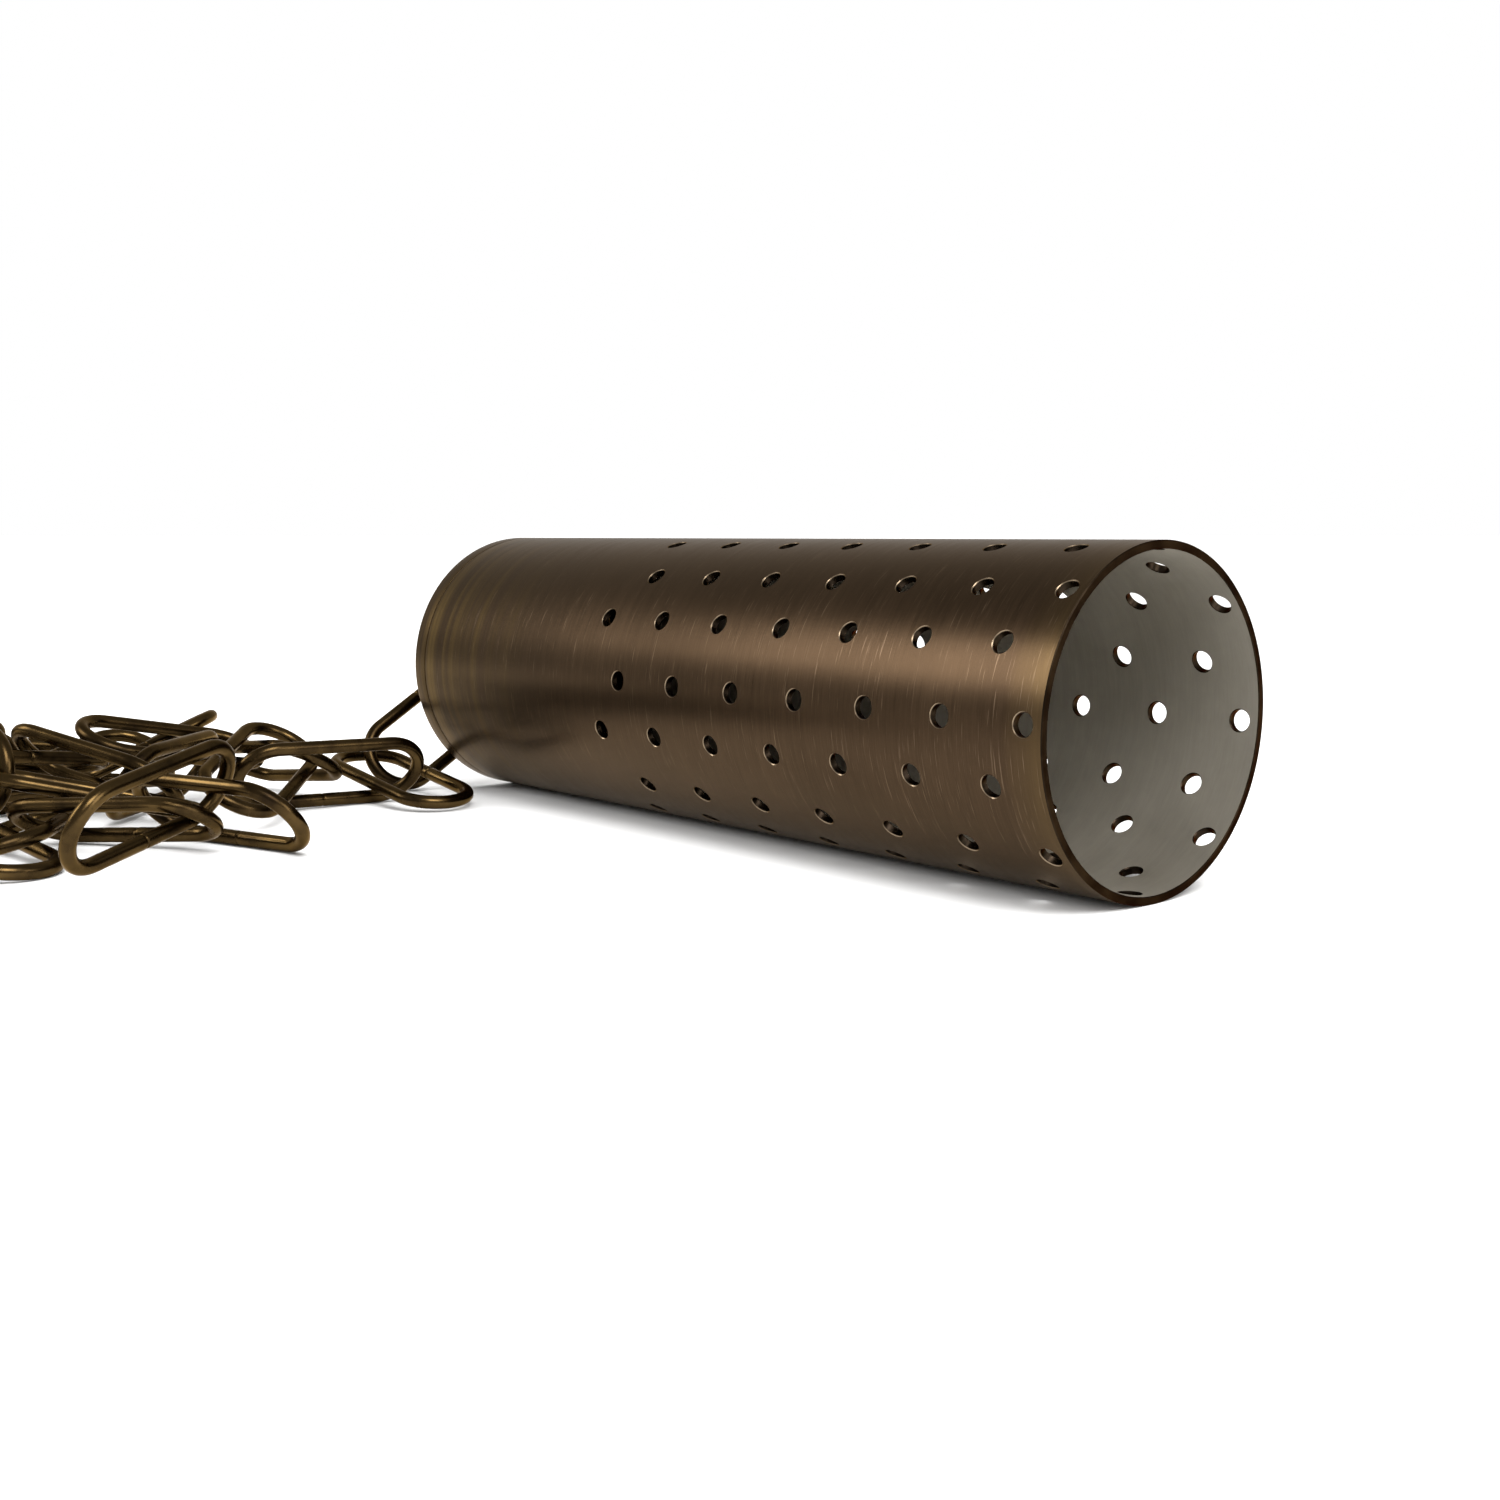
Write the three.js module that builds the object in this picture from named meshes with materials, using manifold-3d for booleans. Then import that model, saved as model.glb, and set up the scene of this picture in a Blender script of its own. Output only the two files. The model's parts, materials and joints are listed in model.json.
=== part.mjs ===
// A perforated metal tube on its side, shut at one end by a flat cap, with a long-link chain
// hung from an eye in the middle of the cap and let down in a loose heap beside it.
//
// Millimetres, +Z up. The tube lies along X with its open mouth towards +X, on the plane Z = 0.
// Places below are counted from the foot of the cap's outer face. The last lines move the whole
// assembly so that the origin is the middle of its footprint.
import * as THREE from "three";
import { mergeVertices } from "three/addons/utils/BufferGeometryUtils.js";
import Module from "manifold-3d";

// Tube: taken as 2 inches across, with a thin wall, lying with its axis one radius above the table.
const TUBE_R = 25.4;
const TUBE_WALL = 1.25;
const TUBE_END_X = 160;
const TUBE_SIDES = 32;

// Holes: rows along the tube in pairs. A pair repeats every eighth of a turn, and the rows of a
// pair are staggered along the tube. A turn is counted from the top towards -Y.
const HOLE_R = 1.65;
const HOLE_SIDES = 8;
const HOLE_PITCH = 14.8;
const HOLES_IN_A_ROW = 7;
const ROW_PAIRS = 8;
const ROWS = [
  { turn: -3.4, fromMouth: 3.2 },
  { turn: 17, fromMouth: 9.4 },
];

// Running gap between pieces that touch on the real object.
const GAP = 0.3;

// Cap: a turned plug. Its rim is flush with the tube, and a thin spigot goes inside it.
const CAP_RIM = 4;
const CAP_FLOOR = 3;
const CAP_CHAMFER = 0.5;
const SPIGOT_END_X = 10;
const SPIGOT_WALL = 2;

// Eye: a ring on a threaded shank, with a shoulder outside the cap and a nut inside it.
const EYE_RING_R = 6.5;
const EYE_WIRE_R = 1.3;
const EYE_RING_X = -9;
const EYE_ROLL = 40;
const SHOULDER_R = 3.4;
const SHOULDER_LENGTH = 1.5;
const SHANK_R = 2;
const SHANK_END_X = 9.5;
const SHANK_SIDES = 16;
const WASHER_R = 6.5;
const WASHER_THICKNESS = 1;
const NUT_ACROSS_CORNERS_R = 4;
const NUT_THICKNESS = 3.2;

// Chain: every link is one oval of round wire, bent and closed with a butt joint.
const LINK_WIRE_R = 1.25;
const LINK_LENGTH = 37.5;
const LINK_WIDTH = 16.1;
const LINK_SECTION_SIDES = 8;
const LINK_BEND_STEPS = 12;

// The lay of the heap: the middle of each link, then its heading, slope and roll in degrees. A
// link with no roll lies flat, and one with a roll of 90 stands on edge. A numerical search moved
// the links from rough first places to these, which are rounded. They were not set by hand.
const HEAP_LAY = [
  { at: [-7, -16, 13], turn: [-84, -30, -63] },
  { at: [7, -33, 4.5], turn: [183, 9, -1] },
  { at: [9, -49, 7], turn: [84, -1, -54] },
  { at: [7.5, -62, 9], turn: [137, 12, 30] },
  { at: [-10.5, -51, 7.5], turn: [4, 6, -29] },
  { at: [-16.5, -68.5, 12], turn: [-85, 11, -20] },
  { at: [-7.5, -74, 7.5], turn: [-47, 0, 57] },
  { at: [-4, -87.5, 10], turn: [26, -11, -44] },
  { at: [-14.5, -99.5, 11], turn: [-77, 7, 13] },
  { at: [-5.5, -111, 17.5], turn: [11, -30, 80] },
  { at: [15.5, -95, 8.5], turn: [65, -13, -5] },
  { at: [35, -82, 6.5], turn: [18, 0, -49] },
  { at: [46.5, -97.5, 10.5], turn: [-63, -9, 64] },
  { at: [26.5, -96, 5.5], turn: [-146, -3, 30] },
  { at: [16, -107.5, 3.5], turn: [-31, 1, 15] },
  { at: [23, -116.5, 3.5], turn: [-171, 7, 3] },
  { at: [-3, -118.5, 8], turn: [170, 0, 64] },
  { at: [-16.5, -108, 3.5], turn: [99, 0, -18] },
  { at: [-25, -82.5, 7], turn: [116, 11, 24] },
  { at: [-32.5, -70, 8.5], turn: [97, 20, -16] },
  { at: [-37.5, -79, 7], turn: [-93, 8, 159] },
  { at: [-37.5, -95, 11], turn: [-34, 23, 159] },
  { at: [-36.5, -109, 8.5], turn: [-67, -23, -9] },
  { at: [-43.5, -118, 5.5], turn: [99, -6, -17] },
];

// The rest of the chain curls away on the table in one open bend. Its links lean left and
// right in turn, as long links do when a chain is pulled out flat.
const TRAIL_LINKS = 5;
const TRAIL_START = [-42, -133];
const TRAIL_HEADING = 265;
const TRAIL_BEND = 22;
const TRAIL_PITCH = 32;
const TRAIL_LEAN = 45;

// Ring at the free end of the chain. It lies on the table with its near edge up in the last link.
const RING_R = 13.5;
const RING_WIRE_R = 1.4;
const RING_TILT = 10;
const RING_REACH = 2;

const wasm = await Module();
wasm.setup();

const radians = THREE.MathUtils.degToRad;

// Makes a closed geometry into a solid that can be joined and cut.
function solid(geometry) {
  const bare = geometry.clone();
  bare.deleteAttribute("normal");
  bare.deleteAttribute("uv");
  const merged = mergeVertices(bare, 1e-4);
  const vertProperties = merged.getAttribute("position").array;
  const triVerts = new Uint32Array(merged.getIndex().array);
  return new wasm.Manifold(new wasm.Mesh({ numProp: 3, vertProperties, triVerts }));
}

// Turns a solid back into a geometry.
function geometryOf(made) {
  const mesh = made.getMesh();
  const geometry = new THREE.BufferGeometry();
  geometry.setAttribute("position", new THREE.BufferAttribute(mesh.vertProperties, 3));
  geometry.setIndex(new THREE.BufferAttribute(mesh.triVerts, 1));
  geometry.computeVertexNormals();
  return geometry;
}

// A piece turned about the X axis from the [x, radius] corners of its closed section. The radii
// are to the flats of its sides, so one flat is at the very bottom.
function turned(corners, sides) {
  const toCorner = 1 / Math.cos(Math.PI / sides);
  const section = [...corners, corners[0]].map(([x, r]) => new THREE.Vector2(r * toCorner, x));
  return new THREE.LatheGeometry(section, sides, Math.PI / sides).rotateZ(-Math.PI / 2);
}

// A collar of square section from x0 to x1.
function collar(x0, x1, bore, outside, sides) {
  return turned([[x0, bore], [x0, outside], [x1, outside], [x1, bore]], sides);
}

function rod(x0, x1, radius, sides) {
  const geometry = new THREE.CylinderGeometry(radius, radius, x1 - x0, sides);
  return geometry.rotateZ(Math.PI / 2).translate((x0 + x1) / 2, 0, 0);
}

function tubeGeometry() {
  const bore = TUBE_R - TUBE_WALL;
  let tube = solid(collar(CAP_RIM + GAP, TUBE_END_X, bore, TUBE_R, TUBE_SIDES));
  const drill = new THREE.CylinderGeometry(HOLE_R, HOLE_R, 2.2 * TUBE_R, HOLE_SIDES);
  // Rows on opposite sides line up, so each drill makes the holes of both.
  for (let pair = 0; pair < ROW_PAIRS / 2; pair++) {
    for (const row of ROWS) {
      const turn = row.turn + (pair * 360) / ROW_PAIRS;
      for (let i = 0; i < HOLES_IN_A_ROW; i++) {
        const x = TUBE_END_X - row.fromMouth - i * HOLE_PITCH;
        const placed = drill.clone().rotateX(radians(90 + turn)).translate(x, 0, 0);
        tube = tube.subtract(solid(placed));
      }
    }
  }
  return geometryOf(tube);
}

function capGeometry() {
  const bore = SHANK_R + GAP;
  const spigot = TUBE_R - TUBE_WALL - GAP;
  const section = [
    [0, bore], [0, TUBE_R - CAP_CHAMFER], [CAP_CHAMFER, TUBE_R], [CAP_RIM, TUBE_R],
    [CAP_RIM, spigot], [SPIGOT_END_X, spigot], [SPIGOT_END_X, spigot - SPIGOT_WALL],
    [CAP_FLOOR, spigot - SPIGOT_WALL], [CAP_FLOOR, bore],
  ];
  return turned(section, TUBE_SIDES);
}

function eyeGeometry() {
  const ring = new THREE.TorusGeometry(EYE_RING_R, EYE_WIRE_R, 8, 20).rotateX(Math.PI / 2);
  ring.rotateX(-radians(EYE_ROLL)).translate(EYE_RING_X, 0, 0);
  const shoulderEnd = -GAP - WASHER_THICKNESS - GAP;
  const neck = rod(EYE_RING_X + EYE_RING_R, shoulderEnd, EYE_WIRE_R, SHANK_SIDES);
  const shoulder = rod(shoulderEnd - SHOULDER_LENGTH, shoulderEnd, SHOULDER_R, SHANK_SIDES);
  const shank = rod(shoulderEnd - SHOULDER_LENGTH / 2, SHANK_END_X, SHANK_R, SHANK_SIDES);
  return geometryOf(solid(ring).add(solid(neck)).add(solid(shoulder)).add(solid(shank)));
}

// A torus pulled out along X into an oval of the given length and width over the wire.
function linkGeometry() {
  const step = (2 * Math.PI) / LINK_BEND_STEPS;
  const bendR = LINK_WIDTH / 2 - LINK_WIRE_R;
  const pull = (LINK_LENGTH - LINK_WIDTH) / 2;
  const bend = bendR / Math.cos(step / 2);
  const geometry = new THREE.TorusGeometry(bend, LINK_WIRE_R, LINK_SECTION_SIDES, LINK_BEND_STEPS);
  geometry.rotateZ(step / 2);
  const place = geometry.getAttribute("position");
  for (let i = 0; i < place.count; i++) {
    place.setX(i, place.getX(i) + Math.sign(place.getX(i)) * pull);
  }
  return geometry;
}

function ringGeometry() {
  return new THREE.TorusGeometry(RING_R, RING_WIRE_R, LINK_SECTION_SIDES, 24);
}

const FINISHES = {
  bronze: { color: 0x5d4c3b, roughness: 0.42, metalness: 1 },
  brass: { color: 0x8a7148, roughness: 0.36, metalness: 1 },
  steel: { color: 0x8d8a84, roughness: 0.4, metalness: 1 },
};

function piece(name, geometry, finish) {
  const made = new THREE.Mesh(geometry, new THREE.MeshStandardMaterial(FINISHES[finish]));
  made.name = name;
  return made;
}

// The tube, its cap and the eye with its fixings, on the tube's own axis.
function makeHolder() {
  const holder = new THREE.Group();
  const outerWasherX = -GAP - WASHER_THICKNESS;
  const innerWasherX = CAP_FLOOR + GAP;
  const nutX = innerWasherX + WASHER_THICKNESS + GAP;
  const bore = SHANK_R + GAP;
  const washer = (x) => collar(x, x + WASHER_THICKNESS, bore, WASHER_R, SHANK_SIDES);
  const nut = collar(nutX, nutX + NUT_THICKNESS, bore, NUT_ACROSS_CORNERS_R, 6);
  holder.add(
    piece("perforated_tube", tubeGeometry(), "bronze"),
    piece("end_cap", capGeometry(), "bronze"),
    piece("outer_washer", washer(outerWasherX), "brass"),
    piece("eye_bolt", eyeGeometry(), "brass"),
    piece("inner_washer", washer(innerWasherX), "steel"),
    piece("lock_nut", nut, "steel"),
  );
  holder.position.z = TUBE_R;
  return holder;
}

function placeLink(link, at, [heading, slope, roll]) {
  link.position.set(...at);
  link.rotation.set(radians(roll), -radians(slope), radians(heading), "ZYX");
  return link;
}

function trailLay() {
  const lay = [];
  const end = new THREE.Vector2(...TRAIL_START);
  const halfWidth = LINK_WIDTH / 2 - LINK_WIRE_R;
  const height = LINK_WIRE_R + halfWidth * Math.sin(radians(TRAIL_LEAN));
  for (let i = 0; i < TRAIL_LINKS; i++) {
    const heading = TRAIL_HEADING + i * TRAIL_BEND;
    const along = new THREE.Vector2(TRAIL_PITCH, 0).rotateAround({ x: 0, y: 0 }, radians(heading));
    const middle = end.clone().addScaledVector(along, 0.5);
    end.add(along);
    const lean = i % 2 ? TRAIL_LEAN : -TRAIL_LEAN;
    lay.push({ at: [middle.x, middle.y, height], turn: [heading, 0, lean] });
  }
  return { lay, end, heading: TRAIL_HEADING + (TRAIL_LINKS - 1) * TRAIL_BEND };
}

function makeChain() {
  const chain = new THREE.Group();
  const trail = trailLay();
  [...HEAP_LAY, ...trail.lay].forEach(({ at, turn }, i) => {
    const name = `chain_link_${String(i + 1).padStart(2, "0")}`;
    chain.add(placeLink(piece(name, linkGeometry(), "brass"), at, turn));
  });
  const ring = piece("end_ring", ringGeometry(), "brass");
  const out = RING_R * Math.cos(radians(RING_TILT)) - RING_REACH;
  const heading = radians(trail.heading);
  const middle = trail.end.clone().add({ x: out * Math.cos(heading), y: out * Math.sin(heading) });
  const height = RING_WIRE_R + RING_R * Math.sin(radians(RING_TILT));
  chain.add(placeLink(ring, [middle.x, middle.y, height], [trail.heading, -RING_TILT, 0]));
  return chain;
}

const censer = new THREE.Group();
censer.add(makeHolder(), makeChain());
const box = new THREE.Box3().setFromObject(censer, true);
censer.position.set(-(box.min.x + box.max.x) / 2, -(box.min.y + box.max.y) / 2, -box.min.z);

export default censer;
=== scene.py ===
"""A perforated bronze cylinder lying on a table with its long-link chain heaped beside it.

The CAD model gives every place and size. This script adds the finished surfaces: a drilled and
brushed tube, a turned cap, a forged eye with its fixings, and a chain of bent wire links.
"""

import json
import math

import bpy
import numpy as np
from mathutils import Matrix, Vector
from mathutils.geometry import delaunay_2d_cdt


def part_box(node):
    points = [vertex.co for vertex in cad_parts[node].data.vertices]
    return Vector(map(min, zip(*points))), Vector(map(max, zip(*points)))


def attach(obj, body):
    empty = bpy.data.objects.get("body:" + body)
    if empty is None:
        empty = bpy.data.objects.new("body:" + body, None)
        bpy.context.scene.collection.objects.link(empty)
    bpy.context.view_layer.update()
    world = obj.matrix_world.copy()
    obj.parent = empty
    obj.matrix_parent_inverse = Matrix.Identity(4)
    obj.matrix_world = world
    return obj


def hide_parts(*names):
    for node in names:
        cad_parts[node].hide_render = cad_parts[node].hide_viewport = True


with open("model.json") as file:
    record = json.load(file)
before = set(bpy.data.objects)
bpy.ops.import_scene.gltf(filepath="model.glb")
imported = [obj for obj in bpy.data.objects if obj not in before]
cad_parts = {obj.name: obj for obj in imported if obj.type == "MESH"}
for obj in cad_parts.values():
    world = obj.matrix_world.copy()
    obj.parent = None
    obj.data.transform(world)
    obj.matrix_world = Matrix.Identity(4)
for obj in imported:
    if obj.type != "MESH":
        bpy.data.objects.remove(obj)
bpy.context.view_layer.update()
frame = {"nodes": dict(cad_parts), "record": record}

MM = 0.001
TAU = 2 * math.pi

# Sizes that the CAD model states, in millimetres.
TUBE_WALL = 1.25
HOLE_R = 1.65
HOLE_PITCH = 14.8
HOLES_IN_A_ROW = 7
PAIR_TURN = 45
ROWS = ((-3.4, 3.2), (17, 9.4))  # turn from the top towards -Y in degrees, first hole from the mouth
LINK_WIRE_R = 1.25
LINK_BEND_R = 6.8
LINK_STRAIGHT = 21.4
RING_R = 13.5
RING_WIRE_R = 1.4
EYE_RING_R = 6.5
EYE_WIRE_R = 1.3
EYE_ROLL = 40
CAP_RIM = 4
CAP_FLOOR = 3
SPIGOT_END = 10
SPIGOT_WALL = 2

# Sizes that only the finished surfaces have, in millimetres.
EDGE = 0.14  # how far the tube's cut edges are broken
RING_ROUNDING = 0.12  # keeps a truly round ring inside the CAD model's many-sided one

# The tube's own place: its axis runs along X at AXIS_Y and AXIS_Z, and CAP_X is the cap's outer face.
tube_low, tube_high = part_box("perforated_tube")
TUBE_R = (tube_high.z - tube_low.z) / 2 / MM
AXIS_Y = (tube_low.y + tube_high.y) / 2
AXIS_Z = (tube_low.z + tube_high.z) / 2
CAP_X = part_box("end_cap")[0].x
MOUTH_X = tube_high.x
TUBE_LENGTH = (MOUTH_X - CAP_X) / MM


# ---------------------------------------------------------------- camera

def aim(obj, target):
    obj.rotation_euler = (Vector(target) - obj.location).to_track_quat("-Z", "Y").to_euler()


def make_camera():
    """Stands to the right of the mouth, low down, and looks back along the tube to the chain."""
    data = bpy.data.cameras.new("camera")
    data.sensor_width = 36
    data.lens = 41.04
    data.clip_start = 0.01
    camera = bpy.data.objects.new("camera", data)
    bpy.context.scene.collection.objects.link(camera)
    camera.location = Vector((CAP_X, AXIS_Y, 0)) + Vector((301.3, -196.4, 51.5)) * MM
    heading = Vector((-0.758, 0.652, 0)).normalized()
    down = math.radians(7.19)
    aim(camera, camera.location + heading * math.cos(down) - Vector((0, 0, math.sin(down))))
    bpy.context.scene.camera = camera


make_camera()


# ---------------------------------------------------------------- node groups

class Wiring:
    """Short calls for adding and joining the nodes of one tree."""

    def __init__(self, tree):
        self.tree = tree

    def add(self, kind, values=None, **settings):
        node = self.tree.nodes.new(kind)
        for name, value in settings.items():
            setattr(node, name, value)
        for name, value in (values or {}).items():
            if isinstance(value, bpy.types.NodeSocket):
                self.tree.links.new(value, node.inputs[name])
            else:
                node.inputs[name].default_value = value
        return node

    def math(self, operation, first, second=0.0, clamp=False):
        values = {0: first, 1: second}
        return self.add("ShaderNodeMath", values, operation=operation, use_clamp=clamp).outputs[0]

    def spread(self, value, low, high, to_low=0.0, to_high=1.0):
        values = {"Value": value, "From Min": low, "From Max": high, "To Min": to_low, "To Max": to_high}
        return self.add("ShaderNodeMapRange", values, clamp=True).outputs["Result"]

    def mix(self, factor, first, second):
        node = self.add("ShaderNodeMix", {0: factor}, data_type="RGBA")
        colours = [socket for socket in node.inputs if socket.type == "RGBA"]
        for socket, value in zip(colours, (first, second)):
            if isinstance(value, bpy.types.NodeSocket):
                self.tree.links.new(value, socket)
            else:
                socket.default_value = (*value, 1)
        return next(socket for socket in node.outputs if socket.type == "RGBA")

    def noise(self, place, scale, detail=3.0, roughness=0.55):
        values = {"Vector": place, "Scale": scale, "Detail": detail, "Roughness": roughness}
        return self.add("ShaderNodeTexNoise", values).outputs["Fac"]


def new_group(name, inputs, outputs):
    """An empty node group with float or colour or vector sockets, its input and its output."""
    tree = bpy.data.node_groups.new(name, "ShaderNodeTree")
    for label, kind, value in inputs:
        socket = tree.interface.new_socket(label, in_out="INPUT", socket_type="NodeSocket" + kind)
        if value is not None:
            socket.default_value = value
    for label, kind in outputs:
        tree.interface.new_socket(label, in_out="OUTPUT", socket_type="NodeSocket" + kind)
    wiring = Wiring(tree)
    return wiring, wiring.add("NodeGroupInput"), wiring.add("NodeGroupOutput")


def brushed_group():
    """Fine lines left by an abrasive: Place is squeezed across the lines and stretched along them."""
    inputs = (("Place", "Vector", None), ("Across", "Vector", (1.0, 1.0, 1.0)))
    w, given, result = new_group("brushed lines", inputs, (("Lines", "Float"), ("Hairs", "Float")))
    values = {0: given.outputs["Place"], 1: given.outputs["Across"]}
    squeezed = w.add("ShaderNodeVectorMath", values, operation="MULTIPLY").outputs[0]
    broad = w.noise(squeezed, 160, 4, 0.6)
    fine = w.noise(squeezed, 900, 3, 0.7)
    both = w.math("ADD", w.math("MULTIPLY", fine, 0.55), w.math("MULTIPLY", broad, 0.45))
    w.tree.links.new(both, result.inputs["Lines"])
    hairs = w.spread(w.noise(squeezed, 520, 2, 0.8), 0.62, 0.72)
    w.tree.links.new(hairs, result.inputs["Hairs"])
    return w.tree


def patina_group():
    """Slow uneven darkening and rubbed patches of an antiqued finish."""
    inputs = (("Place", "Vector", None), ("Size", "Float", 60.0))
    w, given, result = new_group("antique patina", inputs, (("Clouds", "Float"), ("Specks", "Float")))
    place = given.outputs["Place"]
    clouds = w.spread(w.noise(place, given.outputs["Size"], 4, 0.55), 0.36, 0.66)
    w.tree.links.new(clouds, result.inputs["Clouds"])
    specks = w.spread(w.noise(place, 1900, 2, 0.6), 0.66, 0.74)
    w.tree.links.new(specks, result.inputs["Specks"])
    return w.tree


BRUSHED = brushed_group()
PATINA = patina_group()


# ---------------------------------------------------------------- materials

def new_metal(name, edge):
    """A metal with its shader, ready for its colour, roughness and bump. Edge tints it side-on."""
    material = bpy.data.materials.new(name)
    material.use_nodes = True
    w = Wiring(material.node_tree)
    w.tree.nodes.clear()
    shader = w.add("ShaderNodeBsdfPrincipled", {"Metallic": 1.0, "Specular Tint": (*edge, 1)})
    output = w.add("ShaderNodeOutputMaterial")
    w.tree.links.new(shader.outputs["BSDF"], output.inputs["Surface"])
    return material, w, shader


def group_node(w, tree, values):
    node = w.add("ShaderNodeGroup", node_tree=tree)
    for name, value in values.items():
        if isinstance(value, bpy.types.NodeSocket):
            w.tree.links.new(value, node.inputs[name])
        else:
            node.inputs[name].default_value = value
    return node


def tube_place(w):
    """Place on the tube counted from the middle of the cap, and the distance along it."""
    place = w.add("ShaderNodeTexCoord").outputs["Object"]
    values = {0: place, 1: (CAP_X, AXIS_Y, AXIS_Z)}
    local = w.add("ShaderNodeVectorMath", values, operation="SUBTRACT").outputs[0]
    along = w.add("ShaderNodeSeparateXYZ", {0: local}).outputs["X"]
    return local, along


def bump(w, shader, height, strength, distance):
    values = {"Height": height, "Strength": strength, "Distance": distance}
    node = w.add("ShaderNodeBump", values)
    w.tree.links.new(node.outputs["Normal"], shader.inputs["Normal"])


def make_tube_bronze():
    """Outside of the tube and cap: dark bronze brushed around, golden where both ends are rubbed, with
    painted shade darkening it towards the cap.
    """
    material, w, shader = new_metal("brushed bronze", (0.88, 0.78, 0.68))
    local, along = tube_place(w)
    lines = group_node(w, BRUSHED, {"Place": local, "Across": (6.0, 0.22, 0.22)})
    patina = group_node(w, PATINA, {"Place": local, "Size": 34.0})
    colour = w.mix(lines.outputs["Lines"], (0.017, 0.0103, 0.0054), (0.068, 0.0425, 0.0245))
    darker = w.math("MULTIPLY", patina.outputs["Clouds"], 0.28)
    colour = w.mix(darker, colour, (0.019, 0.0116, 0.0064))
    bands = w.noise(w.add("ShaderNodeCombineXYZ", {"X": along}).outputs[0], 260, 3, 0.6)
    # Painted shade: in broken bands, the base colour darkens from the cap to about 55 mm along. It stands
    # in for the darker reflections and shade at that end.
    painted_shade_near_cap = w.math("MULTIPLY", w.spread(along, 0.012, 0.055, 1, 0), w.spread(bands, 0.3, 0.62, 0.35, 0.8))
    colour = w.mix(painted_shade_near_cap, colour, (0.011, 0.0075, 0.0048))
    near_cap = w.spread(along, 0.004, 0.04, 1, 0)
    cap_gold = w.math("MULTIPLY", near_cap, w.spread(bands, 0.42, 0.62))
    colour = w.mix(w.math("MULTIPLY", cap_gold, 0.65), colour, (0.1, 0.064, 0.021))
    near_rim = w.spread(along, (TUBE_LENGTH - 7) * MM, (TUBE_LENGTH - 1) * MM)
    rim_gold = w.math("MULTIPLY", near_rim, w.spread(bands, 0.3, 0.6, 0.35, 1))
    colour = w.mix(w.math("MULTIPLY", rim_gold, 0.4), colour, (0.085, 0.055, 0.022))
    colour = w.mix(w.math("MULTIPLY", lines.outputs["Hairs"], 0.35), colour, (0.18, 0.125, 0.08))
    w.tree.links.new(colour, shader.inputs["Base Color"])
    roughness = w.spread(lines.outputs["Lines"], 0.3, 0.7, 0.27, 0.37)
    w.tree.links.new(roughness, shader.inputs["Roughness"])
    bump(w, shader, lines.outputs["Lines"], 0.35, 0.00005)
    return material


def make_tube_inside():
    """Inside of the tube: bare pale metal, brushed around, with a little soot-grey cloud."""
    material, w, shader = new_metal("bare bore", (0.9, 0.88, 0.85))
    local, _ = tube_place(w)
    lines = group_node(w, BRUSHED, {"Place": local, "Across": (5.0, 0.3, 0.3)})
    patina = group_node(w, PATINA, {"Place": local, "Size": 55.0})
    colour = w.mix(lines.outputs["Lines"], (0.36, 0.333, 0.282), (0.54, 0.505, 0.435))
    clouds = w.math("MULTIPLY", patina.outputs["Clouds"], 0.3)
    colour = w.mix(clouds, colour, (0.3, 0.278, 0.24))
    w.tree.links.new(colour, shader.inputs["Base Color"])
    roughness = w.spread(patina.outputs["Clouds"], 0, 1, 0.54, 0.68)
    w.tree.links.new(roughness, shader.inputs["Roughness"])
    bump(w, shader, lines.outputs["Lines"], 0.3, 0.00005)
    return material


def make_cut_edge():
    """Sawn and broken edges: nearly black bronze on the rim."""
    material, w, shader = new_metal("dark cut edge", (0.5, 0.4, 0.3))
    local, _ = tube_place(w)
    patina = group_node(w, PATINA, {"Place": local, "Size": 220.0})
    colour = w.mix(patina.outputs["Clouds"], (0.008, 0.0055, 0.0035), (0.02, 0.0135, 0.008))
    w.tree.links.new(colour, shader.inputs["Base Color"])
    shader.inputs["Roughness"].default_value = 0.42
    bump(w, shader, patina.outputs["Clouds"], 0.2, 0.00005)
    return material


def make_hole_wall_painted_shade_and_glint():
    """Drilled walls painted near-black as shade inside the holes. Where they break out through the tube's
    skin there is a bright ring, partly bare metal and partly a painted glint.
    """
    material, w, shader = new_metal("drilled edge with painted shade and glint", (0.5, 0.4, 0.3))
    local, _ = tube_place(w)
    patina = group_node(w, PATINA, {"Place": local, "Size": 400.0})
    # Painted shade: the drilled walls are near-black, darker than the skin, to stand in for the shade
    # inside the holes.
    colour = w.mix(patina.outputs["Clouds"], (0.009, 0.0065, 0.004), (0.03, 0.021, 0.0145))
    values = {0: local, 1: (0.0, 1.0, 1.0)}
    across = w.add("ShaderNodeVectorMath", values, operation="MULTIPLY").outputs[0]
    from_axis = w.add("ShaderNodeVectorMath", {0: across}, operation="LENGTH").outputs["Value"]
    # Painted glint: a bright ring round the outer edge of every hole, partly bare metal and partly a
    # painted highlight.
    bare_edge_and_painted_glint = w.spread(from_axis, (TUBE_R - EDGE) * MM, (TUBE_R - EDGE / 2) * MM)
    colour = w.mix(bare_edge_and_painted_glint, colour, (0.2, 0.15, 0.1))
    w.tree.links.new(colour, shader.inputs["Base Color"])
    shader.inputs["Roughness"].default_value = 0.34
    bump(w, shader, patina.outputs["Specks"], 0.2, 0.00004)
    return material


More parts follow.
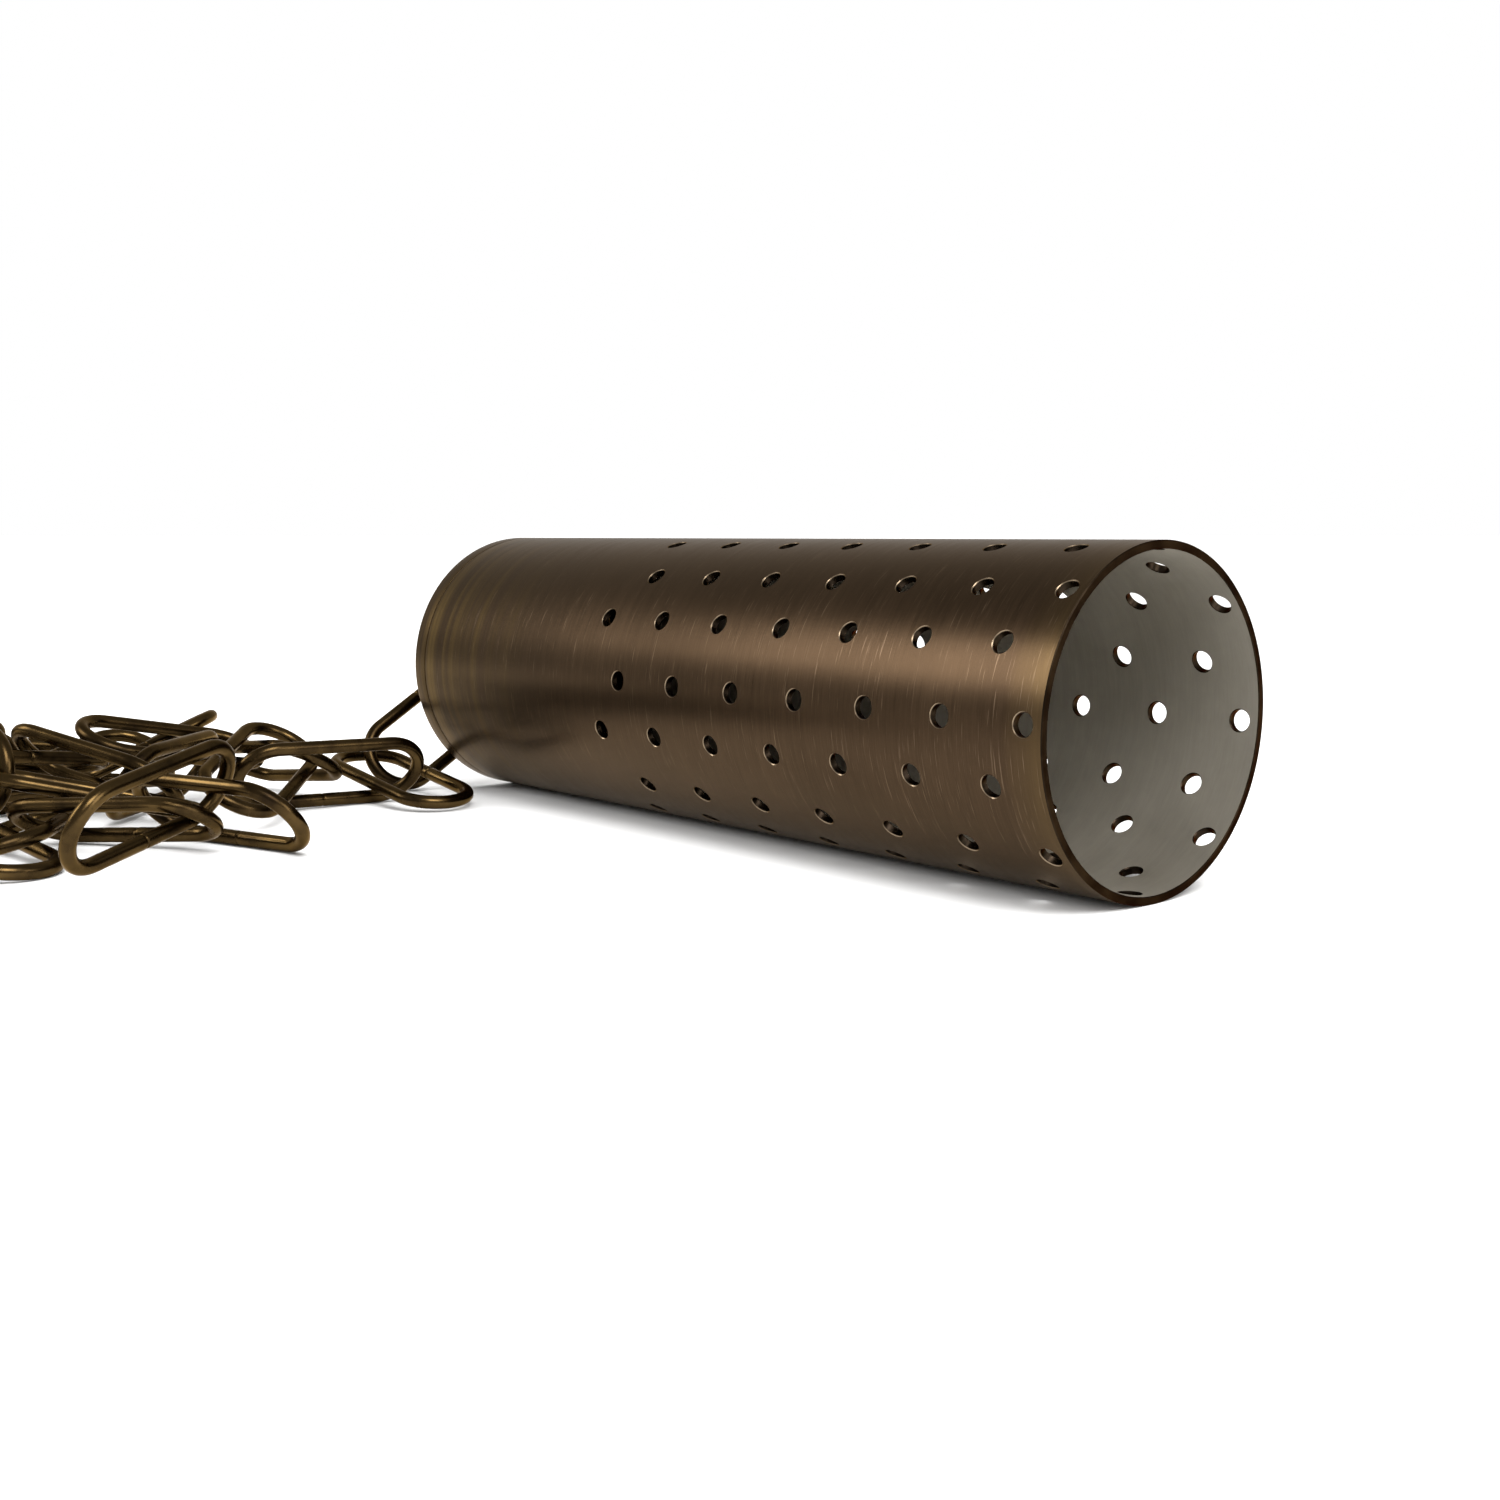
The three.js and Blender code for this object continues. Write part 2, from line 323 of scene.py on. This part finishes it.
def make_chain_brass():
    """Wire of the chain: antiqued brass, golden where it is rubbed and nearly black in between."""
    material, w, shader = new_metal("antiqued wire", (0.8, 0.68, 0.55))
    place = w.add("ShaderNodeTexCoord").outputs["Object"]
    patina = group_node(w, PATINA, {"Place": place, "Size": 110.0})
    wire = w.add("ShaderNodeUVMap", uv_map="wire").outputs["UV"]
    drawn = group_node(w, BRUSHED, {"Place": wire, "Across": (0.012, 0.9, 1.0)})
    colour = w.mix(patina.outputs["Clouds"], (0.085, 0.053, 0.019), (0.011, 0.007, 0.0038))
    streaks = w.math("MULTIPLY", drawn.outputs["Lines"], 0.5)
    colour = w.mix(streaks, colour, (0.034, 0.021, 0.0095))
    colour = w.mix(w.math("MULTIPLY", patina.outputs["Specks"], 0.6), colour, (0.012, 0.008, 0.005))
    w.tree.links.new(colour, shader.inputs["Base Color"])
    roughness = w.spread(patina.outputs["Clouds"], 0, 1, 0.2, 0.32)
    w.tree.links.new(roughness, shader.inputs["Roughness"])
    bump(w, shader, drawn.outputs["Lines"], 0.18, 0.00005)
    return material


def make_steel():
    material, w, shader = new_metal("plain steel", (0.9, 0.9, 0.9))
    place = w.add("ShaderNodeTexCoord").outputs["Object"]
    patina = group_node(w, PATINA, {"Place": place, "Size": 300.0})
    colour = w.mix(patina.outputs["Clouds"], (0.52, 0.51, 0.49), (0.36, 0.35, 0.33))
    w.tree.links.new(colour, shader.inputs["Base Color"])
    shader.inputs["Roughness"].default_value = 0.35
    bump(w, shader, patina.outputs["Clouds"], 0.15, 0.00005)
    return material


TUBE_BRONZE = make_tube_bronze()
TUBE_INSIDE = make_tube_inside()
CUT_EDGE = make_cut_edge()
HOLE_WALL_PAINTED_SHADE_AND_GLINT = make_hole_wall_painted_shade_and_glint()
CHAIN_BRASS = make_chain_brass()
STEEL = make_steel()


# ---------------------------------------------------------------- pieces

def new_piece(name, vertices, faces, materials, finishes=None):
    """A mesh object of vertices in millimetres from the foot of the tube's cap, in the row frame."""
    mesh = bpy.data.meshes.new(name)
    foot = Vector((CAP_X, AXIS_Y, AXIS_Z))
    mesh.from_pydata([foot + Vector(place) * MM for place in vertices], [], faces)
    for material in materials:
        mesh.materials.append(material)
    if finishes is not None:
        mesh.polygons.foreach_set("material_index", finishes)
    mesh.polygons.foreach_set("use_smooth", [True] * len(mesh.polygons))
    mesh.update()
    piece = bpy.data.objects.new(name, mesh)
    bpy.context.scene.collection.objects.link(piece)
    return piece


def sharpen(piece, degrees):
    """Keeps edges that turn more than the angle crisp under smooth shading."""
    piece.data.set_sharp_from_angle(angle=math.radians(degrees))


def ring_faces(rings, count, closed=True):
    """Quads between rings of the same number of points, the last joined to the first if closed."""
    faces = []
    steps = len(rings) if closed else len(rings) - 1
    for i in range(steps):
        first, second = rings[i], rings[(i + 1) % len(rings)]
        for j in range(count):
            k = (j + 1) % count
            faces.append((first[j], first[k], second[k], second[j]))
    return faces


def turned(section, sides):
    """Vertices and faces of a closed section of (x, radius) points turned about the tube's axis."""
    vertices = []
    rings = []
    for x, radius in section:
        rings.append(range(len(vertices), len(vertices) + sides))
        for j in range(sides):
            turn = TAU * (j + 0.5) / sides
            vertices.append((x, -radius * math.sin(turn), radius * math.cos(turn)))
    return vertices, ring_faces(rings, sides)


def rounded(corners, radius, steps=4):
    """A closed section with each of its corners (x, radius, ease) rounded by its own ease."""
    points = []
    count = len(corners)
    for i, (x, r, ease) in enumerate(corners):
        here = Vector((x, r))
        before = Vector(corners[i - 1][:2]) - here
        after = Vector(corners[(i + 1) % count][:2]) - here
        if not ease * radius:
            points.append((x, r))
            continue
        start = here + before.normalized() * ease * radius
        end = here + after.normalized() * ease * radius
        for step in range(steps + 1):
            t = step / steps
            mixed = start * (1 - t) ** 2 + here * 2 * t * (1 - t) + end * t**2
            points.append((mixed.x, mixed.y))
    return points


def finish_piece(piece, body, slot, *nodes):
    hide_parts(*nodes)
    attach(piece, body)


# ---------------------------------------------------------------- the tube

COLUMNS_IN_A_PAIR = 24
ROWS_OF_PLACES = 78
PLACE_CLEARANCE = 0.4
HOLE_STEPS = 28
TUBE_START = CAP_RIM + 0.1
SKIN, BORE, RIM, HOLE = range(4)  # the tube's finishes


def hole_centres():
    """(turn in the first pair, distance along) of the holes of one pair of rows."""
    for turn, from_mouth in ROWS:
        for i in range(HOLES_IN_A_ROW):
            yield turn, TUBE_LENGTH - from_mouth - i * HOLE_PITCH


def around(turn, radius, along):
    """The point at a turn in radians from the top towards -Y."""
    return (along, -radius * math.sin(turn), radius * math.cos(turn))


def hole_ring(turn, along, hole_r, radius):
    """A drilled circle where its straight wall meets a cylinder about the tube's axis."""
    ring = []
    for step in range(HOLE_STEPS):
        angle = TAU * step / HOLE_STEPS
        aside = hole_r * math.cos(angle)
        point = around(turn + math.asin(aside / radius), radius, along + hole_r * math.sin(angle))
        ring.append(point)
    return ring


def pair_pattern():
    """The flat skin of one pair of rows: 2-D places, triangles, and which circle points are where."""
    width = math.radians(PAIR_TURN) * TUBE_R
    first = math.radians((ROWS[0][0] + ROWS[1][0]) / 2 - PAIR_TURN / 2)
    low, high = TUBE_START + EDGE, TUBE_LENGTH - EDGE
    edge_r = HOLE_R + EDGE
    centres = [((math.radians(turn) - first) * TUBE_R, along) for turn, along in hole_centres()]
    places = []
    for i in range(COLUMNS_IN_A_PAIR + 1):
        for j in range(ROWS_OF_PLACES + 1):
            place = Vector((width * i / COLUMNS_IN_A_PAIR, low + (high - low) * j / ROWS_OF_PLACES))
            on_edge = i in (0, COLUMNS_IN_A_PAIR) or j in (0, ROWS_OF_PLACES)
            clear = edge_r + PLACE_CLEARANCE
            if on_edge or all((place - Vector(c)).length > clear for c in centres):
                places.append(place)
    edges = []
    for u, v in centres:
        start = len(places)
        for step in range(HOLE_STEPS):
            angle = TAU * step / HOLE_STEPS
            places.append(Vector((u + edge_r * math.cos(angle), v + edge_r * math.sin(angle))))
            edges.append((start + step, start + (step + 1) % HOLE_STEPS))
    made, _, faces, origins, _, _ = delaunay_2d_cdt(places, edges, [], 0, 1e-6)
    circle_start = len(places) - len(centres) * HOLE_STEPS
    circle = {}
    for i, sources in enumerate(origins):
        for source in sources:
            if source >= circle_start:
                circle[i] = divmod(source - circle_start, HOLE_STEPS)
    kept = []
    for face in faces:
        middle = sum((made[i] for i in face), Vector((0, 0))) / len(face)
        if all((middle - Vector(c)).length > edge_r * 0.992 for c in centres):
            kept.append(tuple(face))
    return first, made, kept, circle


def make_tube():
    bore = TUBE_R - TUBE_WALL
    first, flat, triangles, circle = pair_pattern()
    vertices, faces, finishes = [], [], []
    found = {}

    def point(place):
        """The number of a place's vertex. Places within half a micron share one."""
        key = tuple(round(value * 2000) for value in place)
        if key not in found:
            found[key] = len(vertices)
            vertices.append(place)
        return found[key]

    def face(corners, finish):
        corners = [point(corner) for corner in corners]
        if len(set(corners)) == len(corners):
            faces.append(corners)
            finishes.append(finish)

    centres = list(hole_centres())
    for pair in range(round(360 / PAIR_TURN)):
        turned_by = math.radians(PAIR_TURN) * pair
        for radius, finish, flip in ((TUBE_R, SKIN, False), (bore, BORE, True)):
            rings = [hole_ring(math.radians(turn) + turned_by, along, HOLE_R + EDGE, radius)
                     for turn, along in centres]
            skin = []
            for i, place in enumerate(flat):
                if i in circle:
                    hole, step = circle[i]
                    skin.append(rings[hole][step])
                else:
                    skin.append(around(first + turned_by + place.x / TUBE_R, radius, place.y))
            for triangle in triangles:
                corners = [skin[i] for i in triangle]
                face(corners[::-1] if flip else corners, finish)
        for turn, along in centres:
            turn = math.radians(turn) + turned_by
            steps = (
                (HOLE_R + EDGE, TUBE_R), (HOLE_R, TUBE_R - EDGE), (HOLE_R, bore + EDGE),
                (HOLE_R + EDGE, bore),
            )
            wall = [hole_ring(turn, along, hole_r, radius) for hole_r, radius in steps]
            for outer, inner in zip(wall, wall[1:]):
                for j in range(HOLE_STEPS):
                    k = (j + 1) % HOLE_STEPS
                    face((outer[j], outer[k], inner[k], inner[j]), HOLE)
    columns = COLUMNS_IN_A_PAIR * round(360 / PAIR_TURN)
    for end, inward, flip in ((TUBE_LENGTH, -EDGE, True), (TUBE_START, EDGE, False)):
        steps = (
            (TUBE_R, end + inward), (TUBE_R - EDGE, end), (bore + EDGE, end), (bore, end + inward),
        )
        for j in range(columns):
            here = first + TAU * j / columns
            there = first + TAU * (j + 1) / columns
            for (r0, x0), (r1, x1) in zip(steps, steps[1:]):
                corners = (around(here, r0, x0), around(there, r0, x0),
                           around(there, r1, x1), around(here, r1, x1))
                face(corners if flip else corners[::-1], RIM)
    materials = (TUBE_BRONZE, TUBE_INSIDE, CUT_EDGE, HOLE_WALL_PAINTED_SHADE_AND_GLINT)
    piece = new_piece("drilled_tube", vertices, faces, materials, finishes)
    sharpen(piece, 30)
    smooth_skins(piece)
    finish_piece(piece, "cylinder", "tube_bronze", "perforated_tube")


def smooth_skins(piece):
    """Gives the inner and outer skins the exact normals of true cylinders."""
    mesh = piece.data
    normals = [Vector((0, 0, 0))] * len(mesh.loops)
    for polygon in mesh.polygons:
        if polygon.material_index not in (SKIN, BORE):
            continue
        outward = 1 if polygon.material_index == SKIN else -1
        for corner in polygon.loop_indices:
            place = mesh.vertices[mesh.loops[corner].vertex_index].co
            radial = Vector((0, place.y - AXIS_Y, place.z - AXIS_Z)).normalized()
            normals[corner] = radial * outward
    mesh.normals_split_custom_set(normals)


# ---------------------------------------------------------------- the cap and its fixings

def make_cap():
    """A turned plug with a softened outer edge and faint tool rings on its face."""
    spigot = TUBE_R - TUBE_WALL - 0.1
    corners = [
        (0, 2.3, 0.5), (0, 7.2, 0), (0.12, 7.5, 0), (0.12, 7.9, 0), (0, 8.2, 0),
        (0, TUBE_R, 2.2), (CAP_RIM, TUBE_R, 0.3), (CAP_RIM, spigot, 0),
        (SPIGOT_END, spigot, 0.6), (SPIGOT_END, spigot - SPIGOT_WALL, 0.6),
        (CAP_FLOOR, spigot - SPIGOT_WALL, 1.5), (CAP_FLOOR, 2.3, 0.5),
    ]
    vertices, faces = turned(rounded(corners, 0.3), 192)
    piece = new_piece("turned_cap", vertices, faces, (TUBE_BRONZE,))
    sharpen(piece, 35)
    finish_piece(piece, "cylinder", "tube_bronze", "end_cap")


def make_washer(name, node, material, slot):
    low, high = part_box(node)
    x0, x1 = (low.x - CAP_X) / MM, (high.x - CAP_X) / MM
    corners = [(x0, 2.3, 0.4), (x0, 6.5, 1), (x1, 6.5, 1), (x1, 2.3, 0.4)]
    vertices, faces = turned(rounded(corners, 0.3), 64)
    piece = new_piece(name, vertices, faces, (material,))
    sharpen(piece, 35)
    finish_piece(piece, "cylinder", slot, node)


def make_nut():
    """A hexagon with its corners turned off at both ends."""
    low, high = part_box("lock_nut")
    x0, x1 = (low.x - CAP_X) / MM, (high.x - CAP_X) / MM
    bore, to_flat, to_corner, bevel, sides = 2.15, 4.0, 4.55, 0.5, 72
    vertices, rings = [], []
    profile = (
        (x0, "bore"), (x0, "round"), (x0 + bevel, "hexagon"),
        (x1 - bevel, "hexagon"), (x1, "round"), (x1, "bore"),
    )
    for x, outline in profile:
        rings.append(range(len(vertices), len(vertices) + sides))
        for j in range(sides):
            turn = TAU * (j + 0.5) / sides
            off_flat = (turn + math.pi / 6) % (math.pi / 3) - math.pi / 6
            hexagon = min(to_flat / math.cos(off_flat), to_corner)
            radius = {"bore": bore, "round": to_flat, "hexagon": hexagon}[outline]
            vertices.append((x, -radius * math.sin(turn), radius * math.cos(turn)))
    piece = new_piece("hexagon_nut", vertices, ring_faces(rings, sides), (STEEL,))
    sharpen(piece, 25)
    finish_piece(piece, "cylinder", "fixing_steel", "lock_nut")


# Along a butt joint: distance from the cut and size of the wire there, as a share of its own.
BUTT_JOINT = ((-1.6, 1), (-0.5, 1), (-0.2, 0.985), (-0.07, 0.93), (0, 0.8))
BUTT_JOINT += tuple((-at, size) for at, size in reversed(BUTT_JOINT[:-1]))


def ring_stations(bend_r, joint=True):
    """(x, y, outward turn, wire size) round a ring, with its butt joint at the top."""
    steps = 72
    if not joint:
        turns = [(math.pi / 2 - TAU * i / steps, 1) for i in range(steps)]
    else:
        turns = [(math.pi / 2 - at / bend_r, size) for at, size in BUTT_JOINT]
        clear = 2 * BUTT_JOINT[-1][0] / bend_r
        turns += [(math.pi / 2 - clear - (TAU - 2 * clear) * i / steps, 1) for i in range(steps + 1)]
    return [(bend_r * math.cos(t), bend_r * math.sin(t), t, size) for t, size in turns]


def oval_stations(bend_r, straight):
    """(x, y, outward turn, wire size) round a link, with its butt joint in the middle of one side."""
    half = straight / 2
    up = math.pi / 2
    bend_steps, side_steps = 28, 6
    first = BUTT_JOINT[-1][0]
    beside_joint = [first + (half - first) * i / side_steps for i in range(1, side_steps)]
    stations = [(at, bend_r, up, size) for at, size in BUTT_JOINT]
    stations += [(x, bend_r, up, 1) for x in beside_joint]
    for end in (1, -1):
        for i in range(bend_steps + 1):
            turn = up * end - math.pi * i / bend_steps
            stations.append((end * half + bend_r * math.cos(turn), bend_r * math.sin(turn), turn, 1))
        if end == 1:
            lower = [half - straight * i / side_steps for i in range(1, side_steps)]
            stations += [(x, -bend_r, -up, 1) for x in lower]
    stations += [(-x, bend_r, up, 1) for x in reversed(beside_joint)]
    return stations


def swept_wire(stations, wire_r, sides=16):
    """Vertices, faces and (along, around) places of a round wire that follows closed stations."""
    vertices, rings, places = [], [], []
    travelled = 0.0
    last = None
    for x, y, facing, size in stations:
        here = Vector((x, y, 0))
        travelled += (here - last).length if last else 0
        last = here
        outward = Vector((math.cos(facing), math.sin(facing), 0))
        rings.append(range(len(vertices), len(vertices) + sides))
        for j in range(sides):
            angle = TAU * j / sides
            offset = outward * math.cos(angle) + Vector((0, 0, math.sin(angle)))
            vertices.append(here + offset * wire_r * size)
            places.append((travelled, j / sides))
    return vertices, ring_faces(rings, sides), places


def wire_map(piece, places):
    """A UV map whose first value runs along the wire and whose second runs around it."""
    uv = piece.data.uv_layers.new(name="wire")
    wire = np.array(places, dtype=float)
    for polygon in piece.data.polygons:
        values = wire[list(polygon.vertices)]
        # Faces that close the wire around, or close it end to start, keep their places in order.
        if values[:, 1].max() - values[:, 1].min() > 0.5:
            values[values[:, 1] < 0.5, 1] += 1
        if values[:, 0].max() - values[:, 0].min() > 20:
            values[:, 0] = values[:, 0].max()
        for corner, value in zip(polygon.loop_indices, values):
            uv.data[corner].uv = (value[0], value[1])


def lie_of(node):
    """The middle and the long and thin directions of a flat CAD piece, from its own mesh."""
    points = np.array([vertex.co[:] for vertex in frame["nodes"][node].data.vertices])
    middle = points.mean(axis=0)
    _, directions = np.linalg.eigh(np.cov((points - middle).T))
    thin, long = Vector(directions[:, 0]), Vector(directions[:, 2])
    if thin.z < 0:
        thin = -thin
    if long.x < 0:
        long = -long
    return Vector(middle), long, thin


def make_eye():
    """A forged eye: a ring, a neck that swells into a shoulder, and a threaded shank."""
    ring_x, shoulder, thread_pitch, shank_sides = -9.0, -1.6, 0.7, 40
    shank_end = (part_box("eye_bolt")[1].x - CAP_X) / MM
    vertices, faces, places = swept_wire(ring_stations(EYE_RING_R, joint=False), EYE_WIRE_R, 24)
    turn = Matrix.Rotation(math.radians(-EYE_ROLL), 3, "X") @ Matrix.Rotation(math.pi / 2, 3, "X")
    vertices = [turn @ vertex + Vector((ring_x, 0, 0)) for vertex in vertices]
    neck = ring_x + EYE_RING_R + 0.25
    section = [(neck, 0), (neck, 1.15), (-2.98, 1.25), (-3.02, 1.9)]
    section += [(-2.9, 3.1), (-2.6, 3.38), (shoulder - 0.25, 3.4)]
    section += [(shoulder, 3.15), (shoulder, 2.0)]
    x = shoulder + 0.4
    while x < shank_end - 0.8:
        section += [(x, 2.0), (x + thread_pitch / 2, 1.78)]
        x += thread_pitch
    section += [(shank_end - 0.4, 1.9), (shank_end, 1.5), (shank_end, 0)]
    start = len(vertices)
    shank_vertices, shank_faces = turned([(x, max(r, 0.02)) for x, r in section], shank_sides)
    vertices += [Vector(vertex) for vertex in shank_vertices]
    last_ring = (len(section) - 1) * shank_sides
    faces += [tuple(i + start for i in face) for face in shank_faces[:last_ring]]
    faces.append(tuple(start + j for j in reversed(range(shank_sides))))
    faces.append(tuple(start + last_ring + j for j in range(shank_sides)))
    piece = new_piece("forged_eye", vertices, faces, (CHAIN_BRASS,))
    for j, vertex in enumerate(shank_vertices):
        places.append((vertex[0], j % shank_sides / shank_sides))
    wire_map(piece, places)
    sharpen(piece, 40)
    finish_piece(piece, "cylinder", "chain_brass", "eye_bolt")


# ---------------------------------------------------------------- the chain

def body_of(node):
    for name, nodes in frame["record"]["behaviour"]["bodies"].items():
        if node in nodes:
            return name


def make_wire_piece(name, node, stations, wire_r, seam_side, long=None):
    """A bent wire piece laid where its CAD node lies. seam_side puts its joint on either side."""
    middle, own_long, thin = lie_of(node)
    if long is not None:
        own_long = (long - thin * long.dot(thin)).normalized()
    wide = thin.cross(own_long) * seam_side
    thin = own_long.cross(wide)
    vertices, faces, places = swept_wire(stations, wire_r)
    foot = Vector((CAP_X, AXIS_Y, AXIS_Z))
    middle = (middle - foot) / MM
    laid = [middle + own_long * v.x + wide * v.y + thin * v.z for v in vertices]
    piece = new_piece(name, laid, faces, (CHAIN_BRASS,))
    wire_map(piece, places)
    finish_piece(piece, body_of(node), "chain_brass", node)


def make_chain():
    links = sorted(name for name in frame["nodes"] if name.startswith("chain_link_"))
    link = oval_stations(LINK_BEND_R, LINK_STRAIGHT)
    for i, node in enumerate(links):
        side = 1 if i % 3 else -1
        make_wire_piece(f"wire_link_{i + 1:02d}", node, link, LINK_WIRE_R, side)
    ring = ring_stations(RING_R - RING_ROUNDING)
    make_wire_piece("wire_ring", "end_ring", ring, RING_WIRE_R, 1, long=Vector((1, 0, 0)))


# ---------------------------------------------------------------- floor and light

def make_stage():
    """A pale floor that runs out of sight."""
    material = bpy.data.materials.new("pale floor")
    material.use_nodes = True
    shader = material.node_tree.nodes["Principled BSDF"]
    shader.inputs["Base Color"].default_value = (0.9, 0.9, 0.895, 1)
    shader.inputs["Roughness"].default_value = 0.9
    shader.inputs["Specular IOR Level"].default_value = 0.1
    reach = 40
    corners = [(-reach, -reach, 0), (reach, -reach, 0), (reach, reach, 0), (-reach, reach, 0)]
    mesh = bpy.data.meshes.new("floor")
    mesh.from_pydata(corners, [], [(0, 1, 2, 3)])
    mesh.materials.append(material)
    floor = bpy.data.objects.new("floor", mesh)
    bpy.context.scene.collection.objects.link(floor)


def make_softbox(name, place, target, size, watts):
    data = bpy.data.lights.new(name, "AREA")
    data.shape = "RECTANGLE"
    data.size, data.size_y = size
    data.energy = watts
    lamp = bpy.data.objects.new(name, data)
    bpy.context.scene.collection.objects.link(lamp)
    lamp.location = place
    aim(lamp, target)


def make_light():
    """A white room, darker low down as the metal sees it, three softboxes and a soft overhead lamp."""
    world = bpy.data.worlds.new("studio")
    world.use_nodes = True
    w = Wiring(world.node_tree)
    w.tree.nodes.clear()
    direction = w.add("ShaderNodeTexCoord").outputs["Generated"]
    height = w.add("ShaderNodeSeparateXYZ", {0: direction}).outputs["Z"]
    room = w.spread(height, 0.0, 0.8, 0.75, 0.5)
    seen = w.add("ShaderNodeLightPath").outputs["Is Camera Ray"]
    strength = w.add("ShaderNodeMix", {0: seen, 2: room, 3: 1.0}).outputs[0]
    background = w.add("ShaderNodeBackground", {"Color": (1, 1, 1, 1), "Strength": strength})
    output = w.add("ShaderNodeOutputWorld")
    w.tree.links.new(background.outputs["Background"], output.inputs["Surface"])
    bpy.context.scene.world = world
    bpy.context.scene.view_settings.view_transform = "Standard"
    near_mouth = (0.06, AXIS_Y, 0.03)
    make_softbox("key", (-0.68, -0.7, 0.59), near_mouth, (0.45, 0.5), 7.5)
    make_softbox("mouth", (0.75, -0.15, 0.8), near_mouth, (0.5, 0.5), 10)
    make_softbox("side", (1.1, 0.5, 0.4), near_mouth, (0.5, 0.7), 6)
    overhead = bpy.data.lights.new("overhead", "SUN")
    overhead.energy = 2.8
    overhead.angle = math.radians(80)
    lamp = bpy.data.objects.new("overhead", overhead)
    lamp.visible_glossy = False
    bpy.context.scene.collection.objects.link(lamp)


make_tube()
make_cap()
make_washer("brass_washer", "outer_washer", CHAIN_BRASS, "chain_brass")
make_washer("steel_washer", "inner_washer", STEEL, "fixing_steel")
make_nut()
make_eye()
make_chain()
make_stage()
make_light()
